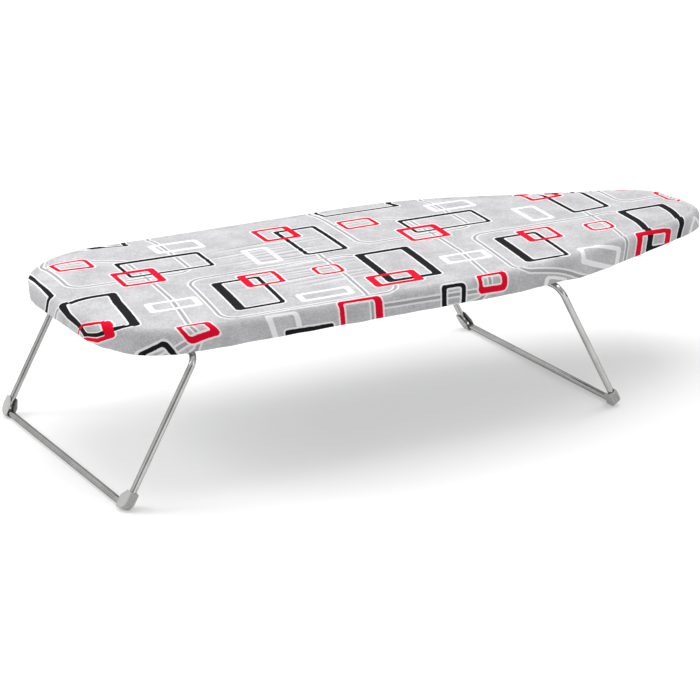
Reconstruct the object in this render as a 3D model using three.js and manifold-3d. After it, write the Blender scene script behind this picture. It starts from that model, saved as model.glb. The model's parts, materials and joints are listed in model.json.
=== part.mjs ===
// Tabletop ironing board: a padded steel panel in a fitted cover, on two folding wire legs.
// Millimetres, +Z up, +X towards the nose. The origin is on the table, under the middle of the board.
import * as THREE from 'three';
import { mergeVertices } from 'three/addons/utils/BufferGeometryUtils.js';
import Module from 'manifold-3d';

const wasm = await Module();
wasm.setup();

// Board plan
const HEEL_END_X = -361.9;
const NOSE_TIP_X = 373;
const BOARD_HALF_WIDTH = 145;
const HEEL_CORNER_RADIUS = 98;
const SHOULDER_START_X = 38.3;
const SHOULDER_END_X = 164.3;
const SHOULDER_END_HALF_WIDTH = 123;
const NOSE_START_X = 260.8;
const NOSE_START_HALF_WIDTH = 92;

// Board levels
const TOP_Z = 166;
const SKIRT_BOTTOM_Z = 143;
const COVER_THICKNESS = 1.2;
const EDGE_RADIUS = 9;
const HEM_WIDTH = 19;
const PANEL_THICKNESS = 0.8;
const RAIL_THICKNESS = 1.2;
const PANEL_TOP_Z = 158;
const PANEL_RIM_BOTTOM_Z = 144.6;
const PANEL_INSET = 2;
const GAP = 0.3;

// Steam holes in the panel
const STEAM_HOLE_RADIUS = 5;
const STEAM_HOLE_PITCH = 46;
const STEAM_HOLE_EDGE_MARGIN = 26;

// Legs
const PIVOT_Z = 138.9;
const HEEL_PIVOT_X = -285.2;
const NOSE_PIVOT_X = 118.3;
const BAR_Z = 5;
const LEG_SPREAD = 74;
const LEG_HALF_WIDTH = 142;
const WIRE_RADIUS = 3.5;
const PIVOT_BEND_RADIUS = 12;
const FOOT_BEND_RADIUS = 11;
const STOP_BEND_RADIUS = 6;
const STOP_ARM_Y = 76;
const STOP_ARM_LENGTH = 13;
const WIRE_SIDES = 12;

// Hinges
const KNUCKLE_CLEARANCE = 0.35;
const LEAF_THICKNESS = 1.6;
const LEAF_LENGTH = 28;
const LEAF_WIDTH = 24;
const LEAF_CENTRE_Y = 98;
const RAIL_WIDTH = 30;
const RAIL_FLANGE = 8;
const HEEL_RAIL_HALF_LENGTH = 121;
const NOSE_RAIL_HALF_LENGTH = 113;
const RIVET_RADIUS = 2;
const RIVET_SPACING = 13;
const RIVET_X = 18;
const RIVET_HEAD_RADIUS = 3.9;
const RIVET_HEAD_HEIGHT = 1.6;

// Corner shoes, in the plane of the leg: u outwards along the bar, v up the leg
const SHOE_OUTER_WALL = 1.3;
const SHOE_SOLE = 1.2;
const SHOE_THICKNESS = 9.2;
const SHOE_REACH_IN = 11;
const SHOE_REACH_UP = 14.5;
const SHOE_CHAMFER = 7.5;
const SHOE_CORNER_RADIUS = 11.5;
const SHOE_CLEARANCE = 0.3;
const SHOE_GROOVE_WIDTH = 1.3;
const SHOE_GROOVE_SPACING = 3.4;
const SHOE_GROOVE_DEPTH = 0.6;

const legHeight = PIVOT_Z - BAR_Z;
const legLength = Math.hypot(LEG_SPREAD, legHeight);
const splay = Math.atan2(LEG_SPREAD, legHeight);
const leafTopZ = PIVOT_Z + WIRE_RADIUS + KNUCKLE_CLEARANCE + LEAF_THICKNESS;
const railBottomZ = leafTopZ + GAP;
const railTopZ = PANEL_TOP_Z - PANEL_THICKNESS - GAP;

const finishes = {
  fabric: { color: 0xd2d2d6, roughness: 0.95, metalness: 0 },
  foam: { color: 0xe6dfc9, roughness: 0.98, metalness: 0 },
  elastic: { color: 0xf0f0ee, roughness: 0.9, metalness: 0 },
  panel: { color: 0xb9bcbf, roughness: 0.5, metalness: 0.8 },
  steel: { color: 0xc4c6c8, roughness: 0.3, metalness: 1 },
  plastic: { color: 0xa3a5a4, roughness: 0.55, metalness: 0 },
};

const board = new THREE.Group();

function addPart(group, name, geometry, finish) {
  const mesh = new THREE.Mesh(geometry, new THREE.MeshStandardMaterial(finishes[finish]));
  mesh.name = name;
  group.add(mesh);
  return mesh;
}

// ---- solids ----

function toManifold(geometry) {
  const bare = geometry.clone();
  bare.deleteAttribute('normal');
  bare.deleteAttribute('uv');
  const merged = mergeVertices(bare, 1e-4);
  const vertProperties = new Float32Array(merged.attributes.position.array);
  const triVerts = new Uint32Array(merged.index.array);
  return new wasm.Manifold(new wasm.Mesh({ numProp: 3, vertProperties, triVerts }));
}

function toGeometry(manifold) {
  const mesh = manifold.getMesh();
  const geometry = new THREE.BufferGeometry();
  geometry.setAttribute('position', new THREE.BufferAttribute(mesh.vertProperties, 3));
  geometry.setIndex(new THREE.BufferAttribute(mesh.triVerts, 1));
  return geometry;
}

function cut(geometry, cutters) {
  const whole = toManifold(geometry);
  return toGeometry(cutters.reduce((solid, cutter) => solid.subtract(toManifold(cutter)), whole));
}

// ---- board outline ----

function boardOutline() {
  const cornerX = HEEL_END_X + HEEL_CORNER_RADIUS;
  const cornerY = BOARD_HALF_WIDTH - HEEL_CORNER_RADIUS;
  const taper = (SHOULDER_END_HALF_WIDTH - NOSE_START_HALF_WIDTH) / (NOSE_START_X - SHOULDER_END_X);
  const shoulderReach = 42;
  const noseReach = 98;
  const half = new THREE.CurvePath();
  const corner = new THREE.EllipseCurve(
    cornerX, cornerY, HEEL_CORNER_RADIUS, HEEL_CORNER_RADIUS, Math.PI, Math.PI / 2, true,
  );
  const shoulder = new THREE.CubicBezierCurve(
    new THREE.Vector2(SHOULDER_START_X, BOARD_HALF_WIDTH),
    new THREE.Vector2(SHOULDER_START_X + shoulderReach, BOARD_HALF_WIDTH),
    new THREE.Vector2(SHOULDER_END_X - shoulderReach, SHOULDER_END_HALF_WIDTH + taper * shoulderReach),
    new THREE.Vector2(SHOULDER_END_X, SHOULDER_END_HALF_WIDTH),
  );
  const nose = new THREE.CubicBezierCurve(
    new THREE.Vector2(NOSE_START_X, NOSE_START_HALF_WIDTH),
    new THREE.Vector2(NOSE_START_X + noseReach, NOSE_START_HALF_WIDTH - taper * noseReach),
    new THREE.Vector2(NOSE_TIP_X, NOSE_START_HALF_WIDTH * 0.67),
    new THREE.Vector2(NOSE_TIP_X, 0),
  );
  half.curves.push(corner, shoulder, nose);
  const side = [...corner.getPoints(11), ...shoulder.getPoints(6), ...nose.getPoints(11)];
  const mirrored = side.slice(0, -1).reverse().map((p) => new THREE.Vector2(p.x, -p.y));
  return [...side, ...mirrored].reverse();
}

// The outline moved inwards by a distance, point by point along the bisectors of its edges.
function inset(outline, distance) {
  const count = outline.length;
  return outline.map((point, i) => {
    const before = point.clone().sub(outline[(i + count - 1) % count]).normalize();
    const after = outline[(i + 1) % count].clone().sub(point).normalize();
    const bisector = before.clone().add(after).normalize();
    const scale = distance / Math.cos(bisector.angleTo(before));
    return new THREE.Vector2(point.x - bisector.y * scale, point.y + bisector.x * scale);
  });
}

// A solid whose surface runs through rings of the outline: profile holds [inset, z] pairs.
// An open profile is closed by a flat cap on its first ring, facing down, and its last, facing up.
function shell(outline, profile, closedProfile = false) {
  const count = outline.length;
  const positions = [];
  const indices = [];
  for (const [distance, z] of profile) {
    for (const point of inset(outline, distance)) {
      positions.push(point.x, point.y, z);
    }
  }
  const strips = closedProfile ? profile.length : profile.length - 1;
  for (let ring = 0; ring < strips; ring += 1) {
    const low = ring * count;
    const high = ((ring + 1) % profile.length) * count;
    for (let i = 0; i < count; i += 1) {
      const next = (i + 1) % count;
      indices.push(low + i, low + next, high + next, low + i, high + next, high + i);
    }
  }
  if (!closedProfile) {
    const top = (profile.length - 1) * count;
    for (const [a, b, c] of THREE.ShapeUtils.triangulateShape(inset(outline, profile[0][0]), [])) {
      indices.push(a, c, b);
    }
    for (const [a, b, c] of THREE.ShapeUtils.triangulateShape(inset(outline, profile.at(-1)[0]), [])) {
      indices.push(top + a, top + b, top + c);
    }
  }
  const geometry = new THREE.BufferGeometry();
  geometry.setAttribute('position', new THREE.Float32BufferAttribute(positions, 3));
  geometry.setIndex(indices);
  return geometry;
}

// [inset, z] points of a quarter round from a vertical wall to a flat top.
function quarterRound(radius, wallInset, topZ, segments) {
  return Array.from({ length: segments + 1 }, (_, i) => {
    const angle = (i / segments) * (Math.PI / 2);
    return [wallInset + radius * (1 - Math.cos(angle)), topZ - radius * (1 - Math.sin(angle))];
  });
}

// ---- soft goods ----

function coverGeometry(outline) {
  const innerRadius = EDGE_RADIUS - COVER_THICKNESS;
  const inside = quarterRound(innerRadius, COVER_THICKNESS, TOP_Z - COVER_THICKNESS, 4).reverse();
  const outside = quarterRound(EDGE_RADIUS, 0, TOP_Z, 4);
  const hemTopZ = SKIRT_BOTTOM_Z + COVER_THICKNESS;
  const hem = [
    [COVER_THICKNESS, hemTopZ],
    [HEM_WIDTH, hemTopZ],
    [HEM_WIDTH, SKIRT_BOTTOM_Z],
    [2.2, SKIRT_BOTTOM_Z],
    [0.6, SKIRT_BOTTOM_Z + 0.6],
    [0, SKIRT_BOTTOM_Z + 2.2],
  ];
  return shell(outline, [...inside, ...hem, ...outside]);
}

function padGeometry(outline) {
  const clearance = COVER_THICKNESS + GAP;
  const bottomZ = PANEL_TOP_Z + GAP;
  const round = quarterRound(EDGE_RADIUS - clearance, clearance, TOP_Z - clearance, 4);
  return shell(outline, [[PANEL_INSET, bottomZ], ...round.filter(([, z]) => z > bottomZ)]);
}

function elasticGeometry(outline) {
  const outer = HEM_WIDTH + GAP;
  const inner = outer + 2.5;
  const top = SKIRT_BOTTOM_Z + 1.6;
  const profile = [[inner, SKIRT_BOTTOM_Z], [outer, SKIRT_BOTTOM_Z], [outer, top], [inner, top]];
  return shell(outline, profile, true);
}

// ---- panel and rails ----

function isInside(point, outline) {
  let inside = false;
  for (let i = 0, j = outline.length - 1; i < outline.length; j = i, i += 1) {
    const a = outline[i];
    const b = outline[j];
    const crosses = a.y > point.y !== b.y > point.y;
    if (crosses && point.x < ((b.x - a.x) * (point.y - a.y)) / (b.y - a.y) + a.x) {
      inside = !inside;
    }
  }
  return inside;
}

function isOverRail(x) {
  const clear = RAIL_FLANGE + STEAM_HOLE_RADIUS + 3;
  const overHeelRail = x > HEEL_PIVOT_X - clear && x < HEEL_PIVOT_X + RAIL_WIDTH + clear;
  const overNoseRail = x < NOSE_PIVOT_X + clear && x > NOSE_PIVOT_X - RAIL_WIDTH - clear;
  return overHeelRail || overNoseRail;
}

function steamHoles(outline) {
  const limit = inset(outline, STEAM_HOLE_EDGE_MARGIN);
  const holes = [];
  const rowPitch = STEAM_HOLE_PITCH * 0.8;
  for (let row = -3; row <= 3; row += 1) {
    const shift = row % 2 === 0 ? 0 : STEAM_HOLE_PITCH / 2;
    for (let x = HEEL_END_X + 20 + shift; x < NOSE_TIP_X; x += STEAM_HOLE_PITCH) {
      const centre = new THREE.Vector2(x, row * rowPitch);
      if (isInside(centre, limit) && !isOverRail(x)) {
        const hole = new THREE.CylinderGeometry(STEAM_HOLE_RADIUS, STEAM_HOLE_RADIUS, 6, 8);
        hole.rotateX(Math.PI / 2);
        hole.translate(centre.x, centre.y, PANEL_TOP_Z - PANEL_THICKNESS / 2);
        holes.push(hole);
      }
    }
  }
  return holes;
}

function panelGeometry(outline) {
  const wall = PANEL_INSET + PANEL_THICKNESS;
  const profile = [
    [wall, PANEL_TOP_Z - PANEL_THICKNESS],
    [wall, PANEL_RIM_BOTTOM_Z],
    [PANEL_INSET, PANEL_RIM_BOTTOM_Z],
    [PANEL_INSET, PANEL_TOP_Z - 0.6],
    [PANEL_INSET + 0.6, PANEL_TOP_Z],
  ];
  return cut(shell(outline, profile), steamHoles(outline));
}

// A profile in X and Z, extruded along Y and centred on it.
function alongY(shape, length) {
  const geometry = new THREE.ExtrudeGeometry(shape, { depth: length, bevelEnabled: false });
  geometry.translate(0, 0, -length / 2);
  geometry.rotateX(Math.PI / 2);
  return geometry;
}

function polygon(points) {
  return new THREE.Shape(points.map(([x, y]) => new THREE.Vector2(x, y)));
}

function rivetHole(x, y) {
  const hole = new THREE.CylinderGeometry(RIVET_RADIUS + GAP, RIVET_RADIUS + GAP, 10, 10);
  hole.rotateX(Math.PI / 2);
  hole.translate(x, y, railBottomZ);
  return hole;
}

function leafRivets() {
  return [LEAF_CENTRE_Y - RIVET_SPACING / 2, LEAF_CENTRE_Y + RIVET_SPACING / 2];
}

// Hat-section rail. x runs from the pivot towards the middle of the board.
function railGeometry(halfLength) {
  const near = WIRE_RADIUS + GAP;
  const far = near + RAIL_WIDTH;
  const t = RAIL_THICKNESS;
  const section = polygon([
    [near - RAIL_FLANGE, railTopZ], [near - RAIL_FLANGE, railTopZ - t], [near, railTopZ - t],
    [near, railBottomZ], [far, railBottomZ], [far, railTopZ - t], [far + RAIL_FLANGE, railTopZ - t],
    [far + RAIL_FLANGE, railTopZ], [far - t, railTopZ], [far - t, railBottomZ + t],
    [near + t, railBottomZ + t], [near + t, railTopZ],
  ]);
  const ys = leafRivets().flatMap((y) => [y, -y]);
  return cut(alongY(section, halfLength * 2), ys.map((y) => rivetHole(RIVET_X, y)));
}

// Hinge leaf with its edge rolled round the pivot wire.
function leafGeometry() {
  const bore = WIRE_RADIUS + KNUCKLE_CLEARANCE;
  const outer = bore + LEAF_THICKNESS;
  const rollEnd = Math.PI * 0.15;
  const segments = 14;
  const section = new THREE.Shape();
  section.moveTo(LEAF_LENGTH, outer);
  section.lineTo(0, outer);
  for (let i = 1; i <= segments; i += 1) {
    const angle = Math.PI / 2 + (i / segments) * (Math.PI * 1.5 + rollEnd);
    section.lineTo(outer * Math.cos(angle), outer * Math.sin(angle));
  }
  for (let i = segments; i >= 0; i -= 1) {
    const angle = Math.PI / 2 + (i / segments) * (Math.PI * 1.5 + rollEnd);
    section.lineTo(bore * Math.cos(angle), bore * Math.sin(angle));
  }
  section.lineTo(LEAF_LENGTH, bore);
  const leaf = alongY(section, LEAF_WIDTH);
  leaf.translate(0, 0, PIVOT_Z);
  return cut(leaf, [rivetHole(RIVET_X, RIVET_SPACING / 2), rivetHole(RIVET_X, -RIVET_SPACING / 2)]);
}

function rivetGeometry() {
  const under = leafTopZ - LEAF_THICKNESS - GAP;
  const over = railBottomZ + RAIL_THICKNESS + GAP;
  const profile = [
    [0, under - RIVET_HEAD_HEIGHT], [RIVET_HEAD_RADIUS * 0.6, under - RIVET_HEAD_HEIGHT * 0.85],
    [RIVET_HEAD_RADIUS, under], [RIVET_RADIUS, under], [RIVET_RADIUS, over],
    [RIVET_HEAD_RADIUS * 0.8, over], [RIVET_HEAD_RADIUS * 0.8, over + 0.9], [0, over + 0.9],
  ];
  const rivet = new THREE.LatheGeometry(profile.map(([r, z]) => new THREE.Vector2(r, z)), 10);
  rivet.rotateX(Math.PI / 2);
  return rivet;
}

// ---- legs ----

// A path through chosen stations, so that straight runs need no sections between their ends.
class StationPath extends THREE.Curve {
  constructor(stations) {
    super();
    this.stations = stations;
  }

  getPoint(t, target = new THREE.Vector3()) {
    const place = t * (this.stations.length - 1);
    const index = Math.min(Math.floor(place), this.stations.length - 2);
    return target.copy(this.stations[index]).lerp(this.stations[index + 1], place - index);
  }

  getPointAt(t, target) {
    return this.getPoint(t, target);
  }

  getTangentAt(t, target = new THREE.Vector3()) {
    const index = Math.round(t * (this.stations.length - 1));
    const before = this.stations[Math.max(index - 1, 0)];
    const here = this.stations[index];
    const after = this.stations[Math.min(index + 1, this.stations.length - 1)];
    const arriving = here.clone().sub(before).normalize();
    const leaving = after.clone().sub(here).normalize();
    return target.copy(arriving).add(leaving).normalize();
  }
}

// Stations along straight runs joined by bends: corners holds { point, radius }.
function bentWire(corners, segments) {
  const stations = [corners[0].point];
  for (let i = 1; i < corners.length - 1; i += 1) {
    const { point, radius } = corners[i];
    const back = corners[i - 1].point.clone().sub(point).normalize();
    const ahead = corners[i + 1].point.clone().sub(point).normalize();
    const halfAngle = back.angleTo(ahead) / 2;
    const inward = back.clone().add(ahead).normalize();
    const centre = inward.multiplyScalar(radius / Math.sin(halfAngle)).add(point);
    const start = point.clone().addScaledVector(back, radius / Math.tan(halfAngle)).sub(centre);
    const axis = back.clone().cross(start).normalize();
    for (let k = 0; k <= segments; k += 1) {
      const turn = (k / segments) * (Math.PI - 2 * halfAngle);
      stations.push(start.clone().applyAxisAngle(axis, turn).add(centre));
    }
  }
  stations.push(corners.at(-1).point);
  return stations;
}

function wireGeometry(stations, radius) {
  const section = new THREE.Shape();
  for (let i = 0; i < WIRE_SIDES; i += 1) {
    const angle = (i / WIRE_SIDES) * Math.PI * 2;
    const move = i === 0 ? 'moveTo' : 'lineTo';
    section[move](radius * Math.cos(angle), radius * Math.sin(angle));
  }
  return new THREE.ExtrudeGeometry(section, {
    steps: stations.length - 1,
    bevelEnabled: false,
    extrudePath: new StationPath(stations),
  });
}

// The leg hangs from the pivot along -Z here; its group turns it by the splay.
function legWireGeometry() {
  const arm = new THREE.Vector3(Math.sin(splay), 0, Math.cos(splay)).multiplyScalar(STOP_ARM_LENGTH);
  const half = [
    { point: new THREE.Vector3(0, STOP_ARM_Y, 0).add(arm) },
    { point: new THREE.Vector3(0, STOP_ARM_Y, 0), radius: STOP_BEND_RADIUS },
    { point: new THREE.Vector3(0, LEG_HALF_WIDTH, 0), radius: PIVOT_BEND_RADIUS },
    { point: new THREE.Vector3(0, LEG_HALF_WIDTH, -legLength), radius: FOOT_BEND_RADIUS },
  ];
  const mirrored = half.map(({ point, radius }) => ({
    point: new THREE.Vector3(point.x, -point.y, point.z),
    radius,
  }));
  return wireGeometry(bentWire([...half, ...mirrored.reverse()], 7), WIRE_RADIUS);
}

function slab(shape, thickness) {
  const settings = { depth: thickness, bevelEnabled: false, curveSegments: 7 };
  const geometry = new THREE.ExtrudeGeometry(shape, settings);
  geometry.translate(0, 0, -thickness / 2);
  return geometry;
}

// Clip-on corner shoe in its own axes: X is u, Y is v and Z is across the leg.
function shoeGeometry() {
  const out = WIRE_RADIUS + SHOE_OUTER_WALL;
  const down = WIRE_RADIUS + SHOE_SOLE;
  const radius = SHOE_CORNER_RADIUS;
  const outline = new THREE.Shape();
  outline.moveTo(out, SHOE_REACH_UP - 1);
  outline.lineTo(out - 1, SHOE_REACH_UP);
  outline.lineTo(SHOE_CHAMFER - SHOE_REACH_IN, SHOE_REACH_UP);
  outline.lineTo(-SHOE_REACH_IN, SHOE_REACH_UP - SHOE_CHAMFER);
  outline.lineTo(-SHOE_REACH_IN, 1 - down);
  outline.lineTo(1 - SHOE_REACH_IN, -down);
  outline.lineTo(out - radius, -down);
  outline.absarc(out - radius, radius - down, radius, -Math.PI / 2, 0, false);
  const solid = slab(outline, SHOE_THICKNESS);

  const bore = WIRE_RADIUS + SHOE_CLEARANCE;
  const beyond = 30;
  const channel = wireGeometry(bentWire([
    { point: new THREE.Vector3(-beyond, 0, 0) },
    { point: new THREE.Vector3(0, 0, 0), radius: FOOT_BEND_RADIUS },
    { point: new THREE.Vector3(0, beyond, 0) },
  ], 7), bore);
  const slotOutline = new THREE.Shape();
  slotOutline.moveTo(-beyond, 0);
  slotOutline.lineTo(-FOOT_BEND_RADIUS, 0);
  slotOutline.absarc(-FOOT_BEND_RADIUS, FOOT_BEND_RADIUS, FOOT_BEND_RADIUS, -Math.PI / 2, 0, false);
  slotOutline.lineTo(0, beyond);
  slotOutline.lineTo(-beyond, beyond);
  const slot = slab(slotOutline, bore * 2);

  const corner = { x: out - radius, y: radius - down };
  const grooveOutline = new THREE.Shape();
  grooveOutline.moveTo(out - SHOE_GROOVE_DEPTH, SHOE_REACH_UP + 1);
  grooveOutline.lineTo(out - SHOE_GROOVE_DEPTH, corner.y);
  grooveOutline.absarc(corner.x, corner.y, radius - SHOE_GROOVE_DEPTH, 0, -Math.PI / 3, true);
  grooveOutline.lineTo(out + 1, -down - 1);
  grooveOutline.lineTo(out + 1, SHOE_REACH_UP + 1);
  const grooves = [-1, 1].map((side) => {
    const groove = slab(grooveOutline, SHOE_GROOVE_WIDTH);
    groove.translate(0, 0, side * SHOE_GROOVE_SPACING / 2);
    return groove;
  });
  return cut(solid, [channel, slot, ...grooves]);
}

// The shoe in the leg's axes, with the part that would reach below the table cut flat.
function placedShoe(side) {
  const shoe = shoeGeometry();
  shoe.rotateX(Math.PI / 2);
  shoe.rotateZ(Math.PI / 2);
  if (side < 0) {
    shoe.rotateZ(Math.PI);
  }
  shoe.translate(0, side * LEG_HALF_WIDTH, -legLength);
  const table = new THREE.BoxGeometry(60, 60, 20);
  table.translate(LEG_SPREAD, side * LEG_HALF_WIDTH, -PIVOT_Z - 10);
  table.rotateY(splay);
  return cut(shoe, [table]);
}

function addLeg(end, pivotX, outward) {
  const leg = new THREE.Group();
  leg.position.set(pivotX, 0, PIVOT_Z);
  leg.rotation.z = outward > 0 ? 0 : Math.PI;
  const swing = new THREE.Group();
  swing.rotation.y = -splay;
  leg.add(swing);
  board.add(leg);
  addPart(swing, `${end}_leg_wire`, legWireGeometry(), 'steel');
  for (const [hand, side] of [['left', outward], ['right', -outward]]) {
    addPart(swing, `${end}_shoe_${hand}`, placedShoe(side), 'plastic');
  }
}

// ---- hinges ----

function addHinges(end, pivotX, outward, railHalfLength) {
  const hinge = new THREE.Group();
  hinge.position.x = pivotX;
  hinge.rotation.z = outward < 0 ? 0 : Math.PI;
  board.add(hinge);
  addPart(hinge, `${end}_rail`, railGeometry(railHalfLength), 'panel');
  for (const [hand, side] of [['left', -outward], ['right', outward]]) {
    addPart(hinge, `${end}_hinge_${hand}`, leafGeometry(), 'steel').position.y = side * LEAF_CENTRE_Y;
    leafRivets().forEach((y, i) => {
      const rivet = addPart(hinge, `${end}_rivet_${hand}_${i + 1}`, rivetGeometry(), 'steel');
      rivet.position.set(RIVET_X, side * y, 0);
    });
  }
}

const outline = boardOutline();
addPart(board, 'cover', coverGeometry(outline), 'fabric');
addPart(board, 'pad', padGeometry(outline), 'foam');
addPart(board, 'hem_elastic', elasticGeometry(outline), 'elastic');
addPart(board, 'panel', panelGeometry(outline), 'panel');
addHinges('heel', HEEL_PIVOT_X, -1, HEEL_RAIL_HALF_LENGTH);
addHinges('nose', NOSE_PIVOT_X, 1, NOSE_RAIL_HALF_LENGTH);
addLeg('heel', HEEL_PIVOT_X, -1);
addLeg('nose', NOSE_PIVOT_X, 1);

export default board;
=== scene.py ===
# Tabletop ironing board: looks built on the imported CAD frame.
import json
import math

import bmesh
import bpy
import numpy as np
from mathutils import Matrix, Vector


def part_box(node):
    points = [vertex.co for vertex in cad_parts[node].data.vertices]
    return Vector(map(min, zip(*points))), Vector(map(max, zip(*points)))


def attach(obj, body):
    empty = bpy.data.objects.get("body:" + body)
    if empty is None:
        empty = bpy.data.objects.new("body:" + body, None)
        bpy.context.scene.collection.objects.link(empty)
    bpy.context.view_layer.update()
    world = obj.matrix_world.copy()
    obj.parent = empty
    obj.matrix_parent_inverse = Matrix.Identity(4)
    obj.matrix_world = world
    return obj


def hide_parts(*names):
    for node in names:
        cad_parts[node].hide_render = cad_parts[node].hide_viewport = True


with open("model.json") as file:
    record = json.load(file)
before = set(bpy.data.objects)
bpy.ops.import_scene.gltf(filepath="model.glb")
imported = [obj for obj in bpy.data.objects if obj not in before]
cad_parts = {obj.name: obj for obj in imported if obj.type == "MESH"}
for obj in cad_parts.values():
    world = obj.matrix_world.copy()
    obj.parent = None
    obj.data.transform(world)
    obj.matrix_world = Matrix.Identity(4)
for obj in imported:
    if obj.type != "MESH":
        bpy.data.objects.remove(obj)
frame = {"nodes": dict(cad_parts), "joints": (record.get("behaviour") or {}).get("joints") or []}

MM = 0.001
nodes = frame["nodes"]
joints = {j["name"]: j for j in frame["joints"]}
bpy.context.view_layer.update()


# ---- mesh helpers ----

def new_object(name, mesh):
    obj = bpy.data.objects.new(name, mesh)
    bpy.context.scene.collection.objects.link(obj)
    return obj


def mesh_piece(name, points, faces, body, material):
    mesh = bpy.data.meshes.new(name)
    mesh.from_pydata([tuple(p) for p in points], [], [tuple(f) for f in faces])
    mesh.validate()
    fix = bmesh.new()
    fix.from_mesh(mesh)
    bmesh.ops.recalc_face_normals(fix, faces=fix.faces)
    fix.to_mesh(mesh)
    fix.free()
    mesh.shade_smooth()
    obj = new_object(name, mesh)
    mesh.materials.append(material)
    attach(obj, body)
    return obj


def bevel(obj, width):
    mod = obj.modifiers.new("bevel", "BEVEL")
    mod.width = width
    mod.segments = 2
    mod.limit_method = "ANGLE"
    mod.angle_limit = math.radians(30)


def ring_faces(rings, count, closed=False):
    """Faces between rings of points, each ring closed on itself."""
    faces = []
    for r in range(rings if closed else rings - 1):
        low, high = r * count, ((r + 1) % rings) * count
        for i in range(count):
            j = (i + 1) % count
            faces.append((low + i, low + j, high + j, high + i))
    return faces


# ---- board outline, in millimetres ----

cover_low, cover_high = [np.array(v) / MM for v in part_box("cover")]
HEEL_X, NOSE_X = cover_low[0], cover_high[0]
HALF_WIDTH = cover_high[1]
TOP_Z, HEM_Z = cover_high[2], cover_low[2]
EDGE_RADIUS = 9.0
HEM_WIDTH = 19.0
HEM_FOLD_RADIUS = 1.2
PAD_CLEARANCE = 1.5
HEEL_CORNER_RADIUS = 98.0
SHOULDER_START_X = 38.3
SHOULDER_END_X, SHOULDER_END_HALF_WIDTH = 164.3, 123.0
NOSE_START_X, NOSE_START_HALF_WIDTH = 260.8, 92.0


def bezier(a, b, c, d, count):
    t = np.linspace(0, 1, count)[:, None]
    a, b, c, d = (np.array(v, float) for v in (a, b, c, d))
    return a * (1 - t) ** 3 + 3 * b * t * (1 - t) ** 2 + 3 * c * t * t * (1 - t) + d * t ** 3


def board_outline(step):
    """Points round the board, about step apart, anticlockwise from the heel end, with outward normals."""
    taper = (SHOULDER_END_HALF_WIDTH - NOSE_START_HALF_WIDTH) / (NOSE_START_X - SHOULDER_END_X)
    shoulder_reach, nose_reach = 42, 98
    turn = np.linspace(math.pi, math.pi / 2, 60)
    corner = np.stack([
        HEEL_X + HEEL_CORNER_RADIUS * (1 + np.cos(turn)),
        HALF_WIDTH - HEEL_CORNER_RADIUS * (1 - np.sin(turn)),
    ], 1)
    shoulder = bezier(
        (SHOULDER_START_X, HALF_WIDTH), (SHOULDER_START_X + shoulder_reach, HALF_WIDTH),
        (SHOULDER_END_X - shoulder_reach, SHOULDER_END_HALF_WIDTH + taper * shoulder_reach),
        (SHOULDER_END_X, SHOULDER_END_HALF_WIDTH), 60,
    )
    nose = bezier(
        (NOSE_START_X, NOSE_START_HALF_WIDTH),
        (NOSE_START_X + nose_reach, NOSE_START_HALF_WIDTH - taper * nose_reach),
        (NOSE_X, NOSE_START_HALF_WIDTH * 0.67), (NOSE_X, 0), 60,
    )
    side = np.vstack([[[HEEL_X, 0.0]], corner, shoulder, nose])
    far = resample(side, step)
    near = far[1:-1][::-1] * [1, -1]
    points = np.vstack([far, near])[::-1]
    tangent = np.roll(points, -1, 0) - np.roll(points, 1, 0)
    tangent /= np.linalg.norm(tangent, axis=1)[:, None]
    return points, np.stack([tangent[:, 1], -tangent[:, 0]], 1)


def resample(points, step):
    """The same line with its points evenly spaced, about step apart."""
    lengths = np.linalg.norm(np.diff(points, axis=0), axis=1)
    keep = np.r_[True, lengths > 1e-9]
    points = points[keep]
    along = np.r_[0, np.cumsum(np.linalg.norm(np.diff(points, axis=0), axis=1))]
    at = np.linspace(0, along[-1], int(round(along[-1] / step)) + 1)
    return np.stack([np.interp(at, along, points[:, k]) for k in (0, 1)], 1)


def ripple(s, wavelength, seed):
    """A smooth irregular wave of one variable, the same in every run."""
    phase = 2.399 * seed
    wave = np.sin(2 * np.pi * s / wavelength + phase)
    wave = wave + 0.7 * np.sin(2 * np.pi * s / (wavelength * 1.618) + 1.7 * phase)
    return (wave + 0.5 * np.sin(2 * np.pi * s / (wavelength * 0.577) + 3.1 * phase)) / 2.2


# ---- shader helpers ----

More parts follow.
